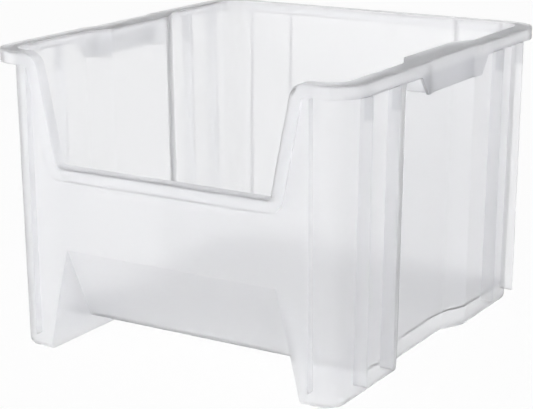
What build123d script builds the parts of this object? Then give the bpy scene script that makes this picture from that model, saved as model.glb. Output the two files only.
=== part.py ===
from build123d import *
import os
from math import atan2, radians, tan

# Stackable open-front storage bin: one translucent moulding, modelled as its named regions.
# Front is -Y, right is +X, up is +Z. The origin is the middle of the footprint, under the feet.

# Overall size, measured over the rim
width = 419.1
depth = 444.5
height = 316.0

# Wall and draft
wall = 3.0
draft_angle = 0.76
corner_radius = 26.0
base_edge_radius = 6.5
base_flange = 12.0

# Rim: how far it stands out from the wall, how thick it is and how far it turns down
side_overhang = 15.6
end_overhang = 10.0
rim_thickness = 3.0
rim_drop = 13.5
rim_corner_radius = 35.0
rim_edge_radius = 1.6

# Recess down the middle of each side wall
recess_depth = 13.9
recess_mouth = 82.0
recess_floor = 53.0
recess_bend_radius = 6.0

# Floor, and the ramp that rises to the front between the two feet
floor_height = 20.5
floor_thickness = 3.0
ramp_setback = 77.45
arch_height = 112.6
foot_margin_top = 84.85
foot_margin_base = 58.55
arch_radius = 5.0
under_rib_length = 64.8

# Front opening and its rolled lip
lip_height = 202.5
opening_margin_base = 84.55
opening_margin_top = 61.95
opening_low_radius = 4.0
opening_high_radius = 18.0

# Hand grips under the rim
grip_drop = 33.0
grip_half_top = 78.0
grip_half_bottom = 62.5
grip_face_half = 45.0
grip_set_in = 3.5
grip_corner_radius = 4.0
grip_web = 3.0
grip_web_place = 51.0

# Stacking ribs on the outside of the walls
rib_thickness = 2.6
rib_foot = 17.5
rib_draft_angle = 0.38
front_side_rib_margin_near = 104.75
front_side_rib_margin_far = 48.75
rear_side_rib_margin_near = 96.25
rear_side_rib_margin_far = 43.75
front_rib_margin = 46.25
back_rib_margin_near = 99.55
back_rib_margin_far = 44.55

# Sizes that follow from the ones above
half_x = width / 2 - side_overhang
half_y = depth / 2 - end_overhang
wall_top = height - rim_thickness
skirt_bottom = height - rim_drop
floor_top = floor_height + floor_thickness
ramp_foot = depth / 2 - ramp_setback
under_rib_end = ramp_foot - under_rib_length
arch_half_top = width / 2 - foot_margin_top
arch_half_base = width / 2 - foot_margin_base
opening_half_base = width / 2 - opening_margin_base
opening_half_top = width / 2 - opening_margin_top
front_rib_place = width / 2 - front_rib_margin
bend_shift = tan(atan2(recess_depth, recess_mouth - recess_floor) / 2)
arch_wall = half_y - (height - arch_height) * tan(radians(draft_angle))
ramp_slope = (arch_height - floor_height) / (arch_wall - ramp_foot)
arch_slope = (arch_half_base - arch_half_top) / arch_height
far = width + depth
rib_fall = (wall_top - rib_foot) * tan(radians(rib_draft_angle))
side_rib_depth = side_overhang - rim_thickness
end_rib_depth = end_overhang - rim_thickness
post_y = half_y - corner_radius - 12
panel_y = recess_mouth + 2
heel_y = -ramp_foot + wall
strip_x = front_rib_place - 2
front_y = -half_y + 4 * wall
ramp_half = arch_half_top - 2 * arch_radius
foot_split = arch_half_base + 2 * wall
side_split = half_x - recess_depth - 2 * wall
lip_split = lip_height + opening_low_radius
grip_bottom = height - grip_drop


def ring_points(x, y, mouth, flat, step):
    """Corners of a rectangle whose two long sides step in, anticlockwise from the front right."""
    right = [(x, -y), (x, -mouth), (x - step, -flat), (x - step, flat), (x, mouth), (x, y)]
    return right + [(-px, -py) for px, py in right]


def wall_plan(inset):
    """Wall outline at rim level, drawn in by an inset."""
    mouth = recess_mouth + bend_shift * inset
    flat = recess_floor + bend_shift * inset
    Polygon(*ring_points(half_x - inset, half_y - inset, mouth, flat, recess_depth), align=None)
    fillet([v for v in vertices() if abs(v.Y) > half_y - inset - 1], corner_radius - inset)
    fillet([v for v in vertices() if abs(v.Y) < mouth + 1], recess_bend_radius)


def rim_plan(inset):
    """Outer outline of the rim, drawn in by an inset."""
    points = ring_points(width / 2 - inset, depth / 2 - inset, grip_half_bottom, grip_face_half, grip_set_in)
    Polygon(*points, align=None)
    fillet([v for v in vertices() if abs(v.Y) > depth / 2 - inset - 1], rim_corner_radius - inset)


def mouth_plan(growth):
    """Front opening as seen from the front, open above the rim, grown by an offset."""
    side = width
    right = [(opening_half_base, lip_height), (opening_half_top, height), (side, height), (side, far)]
    Polygon(*right, *[(-px, pz) for px, pz in reversed(right)], align=None)
    fillet([v for v in vertices() if abs(v.Y - lip_height) < 0.1], opening_low_radius)
    fillet([v for v in vertices() if abs(v.Y - height) < 0.1 and abs(v.X) < side - 1], opening_high_radius)
    if growth:
        offset(amount=growth)


def arch_plan(growth):
    """Gap between the front feet as seen from the front, grown by an offset."""
    low = -floor_height
    foot = arch_half_base - low * arch_slope
    right = [(foot + growth, low), (arch_half_top + growth, arch_height + growth)]
    Polygon(*right, *[(-px, pz) for px, pz in reversed(right)], align=None)
    fillet([v for v in vertices() if v.Y > arch_height], arch_radius + growth)


def ramp_side(growth):
    """Space in front of and under the ramp as seen from the right, grown by an offset."""
    rise = growth * (1 + ramp_slope**2) ** 0.5
    start = floor_height + rise
    foot = -ramp_foot + (start + floor_height) / ramp_slope
    top = start + ramp_slope * (far - ramp_foot)
    Polygon((-far, -floor_height), (foot, -floor_height), (-ramp_foot, start), (-far, top), align=None)


def walls_to(inset, low, edge):
    """Tapered block inside the wall outline, from a height to the rim, with a rounded lower edge."""
    with BuildPart() as block:
        with BuildSketch(Plane.XY.offset(height)):
            wall_plan(inset)
        extrude(amount=low - height, taper=draft_angle)
        fillet(block.faces().sort_by(Axis.Z)[0].edges(), edge)
    return block.part


def prism_y(plan, growth, low, high):
    """A front-view plan carried through the part from one depth to another."""
    with BuildPart() as prism:
        with BuildSketch(Plane.XZ.offset(-high)):
            plan(growth)
        extrude(amount=high - low)
    return prism.part


def under_ramp(growth):
    """Open space under the ramp, between the front feet, grown by an offset."""
    with BuildPart() as space:
        with BuildSketch(Plane.XZ.offset(-half_y)):
            arch_plan(growth)
        extrude(amount=2 * depth)
        with BuildSketch(Plane.YZ.offset(-width)):
            ramp_side(growth)
        extrude(amount=2 * width, mode=Mode.INTERSECT)
    return space.part


def box_at(x, y, z, mode=Mode.ADD):
    """A box between two limits on each axis."""
    with Locations(((x[0] + x[1]) / 2, (y[0] + y[1]) / 2, (z[0] + z[1]) / 2)):
        Box(x[1] - x[0], y[1] - y[0], z[1] - z[0], mode=mode)


def side_rib(place):
    """Stacking rib on the right side wall, its outer edge steeper than the wall."""
    with BuildPart() as rib:
        with BuildSketch(Plane.XZ.offset(-place - rib_thickness / 2)):
            edge = half_x + side_rib_depth
            Polygon((0, rib_foot), (edge - rib_fall, rib_foot), (edge, wall_top), (0, wall_top), align=None)
        extrude(amount=rib_thickness)
        add(outside, mode=Mode.SUBTRACT)
        box_at((0, width), (-depth, depth), (0, wall_top), Mode.INTERSECT)
    return rib.part


def end_rib(place, side):
    """Stacking rib on the front wall (side -1) or the back wall (side 1)."""
    with BuildPart() as rib:
        with BuildSketch(Plane.YZ.offset(place - rib_thickness / 2)):
            edge = half_y + end_rib_depth
            foot = (side * (edge - rib_fall), rib_foot)
            Polygon((0, rib_foot), foot, (side * edge, wall_top), (0, wall_top), align=None)
        extrude(amount=rib_thickness)
        add(outside, mode=Mode.SUBTRACT)
        box_at((-width, width), (-depth, depth), (0, wall_top), Mode.INTERSECT)
    return rib.part


outside = walls_to(0, 0, base_edge_radius)
inside = walls_to(wall, wall, base_edge_radius - wall)

# Hollow of the bin: everything inside the walls, above the floor and the ramp, down into both feet
with BuildPart() as hollow:
    add(inside)
    box_at((-width, width), (-ramp_foot - wall, depth), (-far, floor_top), Mode.SUBTRACT)
    add(under_ramp(wall), mode=Mode.SUBTRACT)

# Open space below the floor, with the base flange left round it and two ribs left behind the feet
with BuildPart() as under_floor:
    add(inside)
    with BuildSketch():
        wall_plan(base_flange + height * tan(radians(draft_angle)))
    extrude(amount=wall)
    box_at((-width, width), (-ramp_foot, depth), (-far, floor_height), Mode.INTERSECT)
    rib_plan = prism_y(arch_plan, wall, -ramp_foot, -under_rib_end)
    add(rib_plan - prism_y(arch_plan, 0, -ramp_foot, -under_rib_end), mode=Mode.SUBTRACT)

# The walls, floor, ramp and feet in one piece
with BuildPart() as shell:
    add(outside)
    add(hollow.part, mode=Mode.SUBTRACT)
    add(under_floor.part, mode=Mode.SUBTRACT)
    add(under_ramp(0), mode=Mode.SUBTRACT)
    add(prism_y(mouth_plan, 0, -depth, -depth / 4), mode=Mode.SUBTRACT)
    box_at((-width, width), (-depth, depth), (-far, wall_top), Mode.INTERSECT)

# Rim: a flange over the wall tops that turns down all round
with BuildPart() as rim:
    with BuildSketch(Plane.XY.offset(skirt_bottom)):
        rim_plan(0)
    extrude(amount=rim_drop)
    fillet(rim.faces().sort_by(Axis.Z)[-1].edges(), rim_edge_radius)
    with BuildSketch(Plane.XY.offset(skirt_bottom)):
        rim_plan(rim_thickness)
    extrude(amount=rim_drop - rim_thickness, mode=Mode.SUBTRACT)
    add(inside, mode=Mode.SUBTRACT)
    box_at((-strip_x, strip_x), (-depth, 0), (0, 2 * height), Mode.SUBTRACT)

# Lip: the same profile carried down and round the front opening
mouth = prism_y(mouth_plan, 0, -depth / 2, -depth / 4)
with BuildPart() as lip:
    add(prism_y(mouth_plan, rim_drop, -depth / 2, -depth / 4))
    add(mouth, mode=Mode.SUBTRACT)
    box_at((-strip_x, strip_x), (-depth, 0), (0, height), Mode.INTERSECT)
    front_edges = lip.faces().sort_by(Axis.Y)[0].edges()
    fillet([e for e in front_edges if mouth.distance_to(e @ 0.5) < 0.01], rim_edge_radius)
    behind = prism_y(mouth_plan, 2 * rim_drop, -depth / 2 + rim_thickness, 0)
    add(behind - prism_y(mouth_plan, rim_thickness, -depth / 2, 0), mode=Mode.SUBTRACT)
    add(inside, mode=Mode.SUBTRACT)
    add(shell.part, mode=Mode.SUBTRACT)


# Named regions of the shell, cut on flat planes so that each meets its neighbours face to face
with BuildPart() as floor_panel:
    box_at((-width, width), (heel_y, depth), (floor_height, floor_top))
    add(shell.part, mode=Mode.INTERSECT)

with BuildPart() as base_skirt:
    box_at((-width, width), (heel_y, depth), (-far, floor_height))
    add(shell.part, mode=Mode.INTERSECT)

with BuildPart() as front_apron:
    box_at((-arch_half_top, arch_half_top), (-depth, front_y), (0, wall_top))
    add(shell.part, mode=Mode.INTERSECT)

with BuildPart() as front_ramp:
    box_at((-ramp_half, ramp_half), (front_y, heel_y), (0, wall_top))
    add(shell.part, mode=Mode.INTERSECT)

with BuildPart() as back_wall:
    box_at((-strip_x, strip_x), (post_y, depth), (floor_top, wall_top))
    add(shell.part, mode=Mode.INTERSECT)

with BuildPart() as right_front_foot_sole:
    box_at((ramp_half, width), (-depth, heel_y), (-far, wall))
    box_at((foot_split, side_split), (-ramp_foot - 2 * wall, heel_y), (0, floor_top))
    add(shell.part, mode=Mode.INTERSECT)

with BuildPart() as right_foot_inner_wall:
    box_at((ramp_half, foot_split), (front_y, heel_y), (wall, wall_top))
    add(shell.part, mode=Mode.INTERSECT)

with BuildPart() as right_front_post:
    box_at((side_split, width), (-depth, -post_y), (wall, wall_top))
    box_at((arch_half_top, side_split), (-depth, front_y), (wall, wall_top))
    add(shell.part, mode=Mode.INTERSECT)

with BuildPart() as right_front_side_wall:
    box_at((side_split, width), (-post_y, heel_y), (wall, wall_top))
    box_at((side_split, width), (heel_y, -panel_y), (floor_top, wall_top))
    add(shell.part, mode=Mode.INTERSECT)

with BuildPart() as right_recess_panel:
    box_at((0, width), (-recess_floor, recess_floor), (floor_top, wall_top))
    add(shell.part, mode=Mode.INTERSECT)

with BuildPart() as right_recess_flanks:
    box_at((0, width), (-panel_y, -recess_floor), (floor_top, wall_top))
    box_at((0, width), (recess_floor, panel_y), (floor_top, wall_top))
    add(shell.part, mode=Mode.INTERSECT)

with BuildPart() as right_rear_side_wall:
    box_at((0, width), (panel_y, post_y), (floor_top, wall_top))
    add(shell.part, mode=Mode.INTERSECT)

with BuildPart() as right_rear_post:
    box_at((strip_x, width), (post_y, depth), (floor_top, wall_top))
    add(shell.part, mode=Mode.INTERSECT)

# Named regions of the rim and the lip
with BuildPart() as right_side_rim:
    box_at((strip_x, width), (-depth, depth), (0, 2 * height))
    add(rim.part, mode=Mode.INTERSECT)

with BuildPart() as back_rim:
    box_at((-strip_x, strip_x), (0, depth), (0, 2 * height))
    add(rim.part, mode=Mode.INTERSECT)

with BuildPart() as hopper_lip:
    box_at((-width, width), (-depth, 0), (0, lip_split))
    add(lip.part, mode=Mode.INTERSECT)

with BuildPart() as right_mouth_lip:
    box_at((0, width), (-depth, 0), (lip_split, 2 * height))
    add(lip.part, mode=Mode.INTERSECT)

# Hand grips: a deeper stretch of the turned-down rim, tied to the recess by two webs
with BuildPart() as right_grip_skirt:
    with BuildSketch(Plane.XY.offset(grip_bottom)):
        rim_plan(0)
    extrude(amount=skirt_bottom - grip_bottom)
    with BuildSketch(Plane.XY.offset(grip_bottom)):
        rim_plan(rim_thickness)
    extrude(amount=skirt_bottom - grip_bottom, mode=Mode.SUBTRACT)
    with BuildSketch(Plane.YZ):
        corner = [(grip_half_bottom, grip_bottom), (grip_half_top, skirt_bottom)]
        Polygon(*corner, *[(-py, pz) for py, pz in reversed(corner)], align=None)
        fillet([v for v in vertices() if v.Y < grip_bottom + 1], grip_corner_radius)
    extrude(amount=width, mode=Mode.INTERSECT)

with BuildPart() as right_grip_webs:
    with BuildSketch(Plane.XY.offset(grip_bottom)):
        rim_plan(rim_thickness)
    extrude(amount=wall_top - grip_bottom)
    add(outside, mode=Mode.SUBTRACT)
    with BuildSketch(Plane.XY.offset(grip_bottom)):
        with Locations((half_x, grip_web_place), (half_x, -grip_web_place)):
            Rectangle(depth / 2, grip_web)
    extrude(amount=wall_top - grip_bottom, mode=Mode.INTERSECT)

# Stacking ribs, four on each side wall, two on the front and four on the back
with BuildPart() as right_front_side_ribs:
    add(side_rib(front_side_rib_margin_near - depth / 2))
    add(side_rib(front_side_rib_margin_far - depth / 2))

with BuildPart() as right_rear_side_ribs:
    add(side_rib(depth / 2 - rear_side_rib_margin_near))
    add(side_rib(depth / 2 - rear_side_rib_margin_far))

with BuildPart() as front_stacking_ribs:
    add(end_rib(-front_rib_place, -1))
    add(end_rib(front_rib_place, -1))

with BuildPart() as back_stacking_ribs:
    for margin in (back_rib_margin_near, back_rib_margin_far):
        add(end_rib(width / 2 - margin, 1))
        add(end_rib(margin - width / 2, 1))

middle = {
    "floor_panel": floor_panel,
    "base_skirt": base_skirt,
    "front_apron": front_apron,
    "front_ramp": front_ramp,
    "back_wall": back_wall,
    "back_rim": back_rim,
    "hopper_lip": hopper_lip,
    "front_stacking_ribs": front_stacking_ribs,
    "back_stacking_ribs": back_stacking_ribs,
}
paired = {
    "front_foot_sole": right_front_foot_sole,
    "foot_inner_wall": right_foot_inner_wall,
    "front_post": right_front_post,
    "front_side_wall": right_front_side_wall,
    "recess_panel": right_recess_panel,
    "recess_flanks": right_recess_flanks,
    "rear_side_wall": right_rear_side_wall,
    "rear_post": right_rear_post,
    "side_rim": right_side_rim,
    "mouth_lip": right_mouth_lip,
    "grip_skirt": right_grip_skirt,
    "grip_webs": right_grip_webs,
    "front_side_ribs": right_front_side_ribs,
    "rear_side_ribs": right_rear_side_ribs,
}

os.makedirs("parts", exist_ok=True)
for name, piece in middle.items():
    piece.part.label = name
    export_step(piece.part, f"parts/{name}.step")
for name, piece in paired.items():
    piece.part.label = f"right_{name}"
    export_step(piece.part, f"parts/right_{name}.step")
    with BuildPart() as twin:
        mirror(piece.part, about=Plane.YZ)
    twin.part.label = f"left_{name}"
    export_step(twin.part, f"parts/left_{name}.step")
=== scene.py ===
from math import pi

import bmesh
import bpy
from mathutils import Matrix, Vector


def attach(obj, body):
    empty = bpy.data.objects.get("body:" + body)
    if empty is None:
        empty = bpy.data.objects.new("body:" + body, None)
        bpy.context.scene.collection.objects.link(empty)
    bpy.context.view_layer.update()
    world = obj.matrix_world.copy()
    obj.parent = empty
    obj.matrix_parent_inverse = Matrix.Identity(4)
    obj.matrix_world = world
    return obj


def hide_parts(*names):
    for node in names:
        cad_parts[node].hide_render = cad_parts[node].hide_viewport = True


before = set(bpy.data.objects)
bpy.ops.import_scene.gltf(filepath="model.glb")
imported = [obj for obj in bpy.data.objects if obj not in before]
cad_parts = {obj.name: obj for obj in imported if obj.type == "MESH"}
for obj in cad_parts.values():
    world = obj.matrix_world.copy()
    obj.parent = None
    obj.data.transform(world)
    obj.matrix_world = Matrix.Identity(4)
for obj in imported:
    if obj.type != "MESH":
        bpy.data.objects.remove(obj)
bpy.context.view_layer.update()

# Camera: a long lens a little above the rim, looking at the front and the right side, as the
# product photograph does. The small shift only matches the photograph's framing.
photo_width = 533
focal_pixels = 1601.5
shift_pixels = -7.2
sensor_width = 36.0
turn = 0.5412
dip = 0.2619
camera_data = bpy.data.cameras.new("camera")
camera_data.sensor_width = sensor_width
camera_data.lens = sensor_width * focal_pixels / photo_width
camera_data.shift_x = shift_pixels / photo_width
camera_data.clip_end = 50.0
camera = bpy.data.objects.new("camera", camera_data)
camera.location = (0.8655, -1.4463, 0.5821)
camera.rotation_euler = (pi / 2 - dip, 0, turn)
bpy.context.scene.collection.objects.link(camera)
bpy.context.scene.camera = camera
bpy.context.scene.view_settings.view_transform = "Standard"

# The moulding: floor, walls, feet, ramp, lip, rim, grips and ribs are one shot of natural
# polypropylene, about 3 mm thick, milky and half see-through. Nothing is fixed to it.
# Copies of all its regions are joined into one skin, because no seams show on the moulding.
corner_gap = 2e-6
shortest_edge = 1e-6
seam_width = 5e-6
sharp_angle = 0.35
moulded_nodes = sorted(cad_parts)


def merged_copy(name):
    """A copy of a region with its loose triangles joined."""
    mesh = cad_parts[name].data.copy()
    work = bmesh.new()
    work.from_mesh(mesh)
    bmesh.ops.remove_doubles(work, verts=work.verts, dist=corner_gap)
    bmesh.ops.dissolve_degenerate(work, edges=work.edges, dist=shortest_edge)
    work.to_mesh(mesh)
    work.free()
    return bpy.data.objects.new(name + "_copy", mesh)


others = bpy.data.collections.new("others")
first, *rest = [merged_copy(name) for name in moulded_nodes]
for piece in rest:
    others.objects.link(piece)
bpy.context.scene.collection.children.link(others)
bpy.context.scene.collection.objects.link(first)
join = first.modifiers.new("join", "BOOLEAN")
join.operation = "UNION"
join.operand_type = "COLLECTION"
join.collection = others
join.solver = "MANIFOLD"
joined = first.evaluated_get(bpy.context.evaluated_depsgraph_get())
bin_mesh = bpy.data.meshes.new_from_object(joined)
for piece in [first, *rest]:
    bpy.data.objects.remove(piece)
bpy.data.collections.remove(others)

work = bmesh.new()
work.from_mesh(bin_mesh)
bmesh.ops.remove_doubles(work, verts=work.verts, dist=seam_width)
for face in work.faces:
    face.smooth = True
for edge in work.edges:
    edge.smooth = edge.calc_face_angle(0) < sharp_angle
work.to_mesh(bin_mesh)
work.free()
# Normals stored by the copies would hide the smooth faces and sharp edges set above.
if "custom_normal" in bin_mesh.attributes:
    bin_mesh.attributes.remove(bin_mesh.attributes["custom_normal"])
bin_shell = bpy.data.objects.new("bin_shell", bin_mesh)
bpy.context.scene.collection.objects.link(bin_shell)


class Wire:
    """A shader socket that takes part in ordinary arithmetic."""

    def __init__(self, tree, socket):
        self.tree = tree
        self.socket = socket

    def maths(self, operation, *operands):
        """A maths node with this wire as its first value."""
        node = self.tree.nodes.new("ShaderNodeMath")
        node.operation = operation
        for slot, value in zip(node.inputs, (self, *operands)):
            feed(self.tree, slot, value)
        return Wire(self.tree, node.outputs[0])

    def __add__(self, other):
        return self.maths("ADD", other)

    def __mul__(self, other):
        return self.maths("MULTIPLY", other)

    def flipped(self):
        """1 where this is 0, and 0 where it is 1."""
        return self * -1.0 + 1.0

    def step(self, low, high):
        """0 below low, 1 above high, smooth between."""
        node = self.tree.nodes.new("ShaderNodeMapRange")
        node.interpolation_type = "SMOOTHSTEP"
        for slot, value in zip(node.inputs, (self, low, high, 0.0, 1.0)):
            feed(self.tree, slot, value)
        return Wire(self.tree, node.outputs[0])


def feed(tree, slot, value):
    """Links a wire to a socket, or writes a constant on it."""
    if isinstance(value, Wire):
        tree.links.new(value.socket, slot)
    else:
        slot.default_value = value


def empty_tree(owner):
    """The node tree of a material or world, with nothing in it."""
    owner.use_nodes = True
    owner.node_tree.nodes.clear()
    return owner.node_tree


def add_node(tree, kind, output=0, **values):
    """A node of any type with its socket values or links."""
    node = tree.nodes.new(kind)
    for name, value in values.items():
        feed(tree, node.inputs[name.replace("_", " ")], value)
    return Wire(tree, node.outputs[output])


def axes(tree, kind):
    """The X, Y and Z of one of the texture coordinates."""
    node = tree.nodes.new("ShaderNodeSeparateXYZ")
    feed(tree, node.inputs[0], add_node(tree, "ShaderNodeTexCoord", output=kind))
    return [Wire(tree, socket) for socket in node.outputs]


def tinted(tree, share, below, above):
    """A mix of two colours, in slots 6 and 7, by a share from 0 to 1."""
    node = tree.nodes.new("ShaderNodeMix")
    node.data_type = "RGBA"
    for index, value in zip((0, 6, 7), (share, below, above)):
        feed(tree, node.inputs[index], value)
    return Wire(tree, node.outputs[2])


def blended(tree, share, below, above):
    """A mix of two shaders by a share from 0 to 1."""
    node = tree.nodes.new("ShaderNodeMixShader")
    for slot, value in zip(node.inputs, (share, below, above)):
        feed(tree, slot, value)
    return Wire(tree, node.outputs[0])


# The moulding's look: a cool near white, cloudy over a hand's breadth, and satin. The grips,
# which stand off the walls between grip_foot and the rim, get painted shade: a greyer colour in
# place of the shade that falls on them under the rim and through their extra layers.
cloudy_tint = (0.944, 0.946, 0.958, 1)
clear_tint = (0.954, 0.956, 0.968, 1)
grip_painted_shade = (0.8, 0.803, 0.818, 1)
cloud_edges = (0.3, 0.7)
least_roughness = 0.42
cloud_roughness = 0.1
off_wall = (0.196, 0.199)
grip_foot = (0.274, 0.28)
under_rim = (0.3, 0.308)
polypropylene = bpy.data.materials.new("natural_polypropylene")
tree = empty_tree(polypropylene)
place = add_node(tree, "ShaderNodeTexCoord", output="Object")
cloud = add_node(tree, "ShaderNodeTexNoise", Vector=place, Scale=9.0, Detail=3.0)
grain = add_node(tree, "ShaderNodeTexNoise", Vector=place, Scale=900.0, Detail=2.0)
bump = add_node(tree, "ShaderNodeBump", Height=grain, Strength=0.15, Distance=0.0002)
side, _, height = axes(tree, "Object")
# Painted shade: the share of the grip's grey, which stands in for shade under the rim.
grip_shade_share = height.step(*grip_foot) * height.step(*under_rim).flipped()
grip_shade_share = side.maths("ABSOLUTE").step(*off_wall) * grip_shade_share
tint = tinted(tree, cloud.step(*cloud_edges), cloudy_tint, clear_tint)
skin = tree.nodes.new("ShaderNodeBsdfPrincipled")
skin.distribution = "MULTI_GGX"
# The base colour carries the painted shade on the grips.
feed(tree, skin.inputs["Base Color"], tinted(tree, grip_shade_share, tint, grip_painted_shade))
feed(tree, skin.inputs["Roughness"], cloud * cloud_roughness + least_roughness)
feed(tree, skin.inputs["Normal"], bump)
skin.inputs["Transmission Weight"].default_value = 0.80
skin.inputs["Subsurface Weight"].default_value = 1.0
skin.inputs["Subsurface Radius"].default_value = (1.0, 1.0, 1.0)
skin.inputs["Subsurface Scale"].default_value = 0.004
skin.inputs["IOR"].default_value = 1.08
output = tree.nodes.new("ShaderNodeOutputMaterial")
tree.links.new(skin.outputs[0], output.inputs[0])
bin_mesh.materials.clear()
bin_mesh.materials.append(polypropylene)
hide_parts(*moulded_nodes)
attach(bin_shell, "root")

# Bounces: light crosses four or more walls on its way through the bin, so it may turn more
# often here than in a scene of solid things.
most_turns = 24
bpy.context.scene.cycles.max_bounces = most_turns
bpy.context.scene.cycles.diffuse_bounces = most_turns // 2
bpy.context.scene.cycles.transmission_bounces = most_turns

# Floor: a plain white sweep that shows as the photograph's white ground and keeps a faint
# shadow. Under the bin it shows less white through the walls, as ground in shade does.
floor_half_size = 6.0
half_footprint = (0.19, 0.205)
footprint_edge = (0.9, 1.1)
shaded_share = 0.6
seen_white = 0.97
paper_grey = (0.88, 0.88, 0.88, 1)
floor_mesh = bpy.data.meshes.new("floor")
work = bmesh.new()
bmesh.ops.create_grid(work, x_segments=1, y_segments=1, size=floor_half_size)
work.to_mesh(floor_mesh)
work.free()
floor = bpy.data.objects.new("floor", floor_mesh)
bpy.context.scene.collection.objects.link(floor)
paper = bpy.data.materials.new("white_paper")
tree = empty_tree(paper)
rays = tree.nodes.new("ShaderNodeLightPath").outputs
through = Wire(tree, rays["Is Transmission Ray"])
through = through.maths("MAXIMUM", Wire(tree, rays["Is Glossy Ray"]))
across, along, _ = axes(tree, "Object")
across = across.maths("ABSOLUTE") * (1 / half_footprint[0])
along = along.maths("ABSOLUTE") * (1 / half_footprint[1])
outside = across.maths("MAXIMUM", along).step(*footprint_edge)
through = through * (outside * (1 - shaded_share) + shaded_share)
seen = through.maths("MAXIMUM", Wire(tree, rays["Is Camera Ray"]))
diffuse = add_node(tree, "ShaderNodeBsdfDiffuse", Color=paper_grey)
glow = add_node(tree, "ShaderNodeEmission", Color=(1, 1, 1, 1), Strength=1.0)
output = tree.nodes.new("ShaderNodeOutputMaterial")
feed(tree, output.inputs[0], blended(tree, seen * seen_white, diffuse, glow))
floor_mesh.materials.append(paper)

# Light: a pale room that is darker overhead and white where the camera sees it, and two large
# soft lamps, one in front to the left and one beside the right wall.
darkening = (0.03, 0.4)
overhead_loss = 0.98
bin_middle = Vector((0, 0, 0.16))
lamp_height = 0.75
lamp_size = 1.6
world = bpy.data.worlds.new("studio")
bpy.context.scene.world = world
tree = empty_tree(world)
rays = tree.nodes.new("ShaderNodeLightPath").outputs
seen = Wire(tree, rays["Is Camera Ray"])
seen = seen.maths("MAXIMUM", Wire(tree, rays["Is Transmission Ray"]))
level = axes(tree, "Generated")[2].step(*darkening) * -overhead_loss + 1.0
room = add_node(tree, "ShaderNodeBackground", Color=(1, 1, 1, 1), Strength=level)
white = add_node(tree, "ShaderNodeBackground", Color=(1, 1, 1, 1), Strength=1.0)
output = tree.nodes.new("ShaderNodeOutputWorld")
feed(tree, output.inputs[0], blended(tree, seen, room, white))


def soft_lamp(name, x, y, power):
    """A square soft box that faces the middle of the bin."""
    data = bpy.data.lights.new(name, "AREA")
    data.shape = "SQUARE"
    data.size = lamp_size
    data.energy = power
    lamp = bpy.data.objects.new(name, data)
    lamp.location = (x, y, lamp_height)
    facing = bin_middle - Vector((x, y, lamp_height))
    lamp.rotation_euler = facing.to_track_quat("-Z", "Y").to_euler()
    bpy.context.scene.collection.objects.link(lamp)


soft_lamp("front_lamp", -1.0, -2.2, power=33.0)
soft_lamp("side_lamp", 2.3, -0.4, power=14.0)
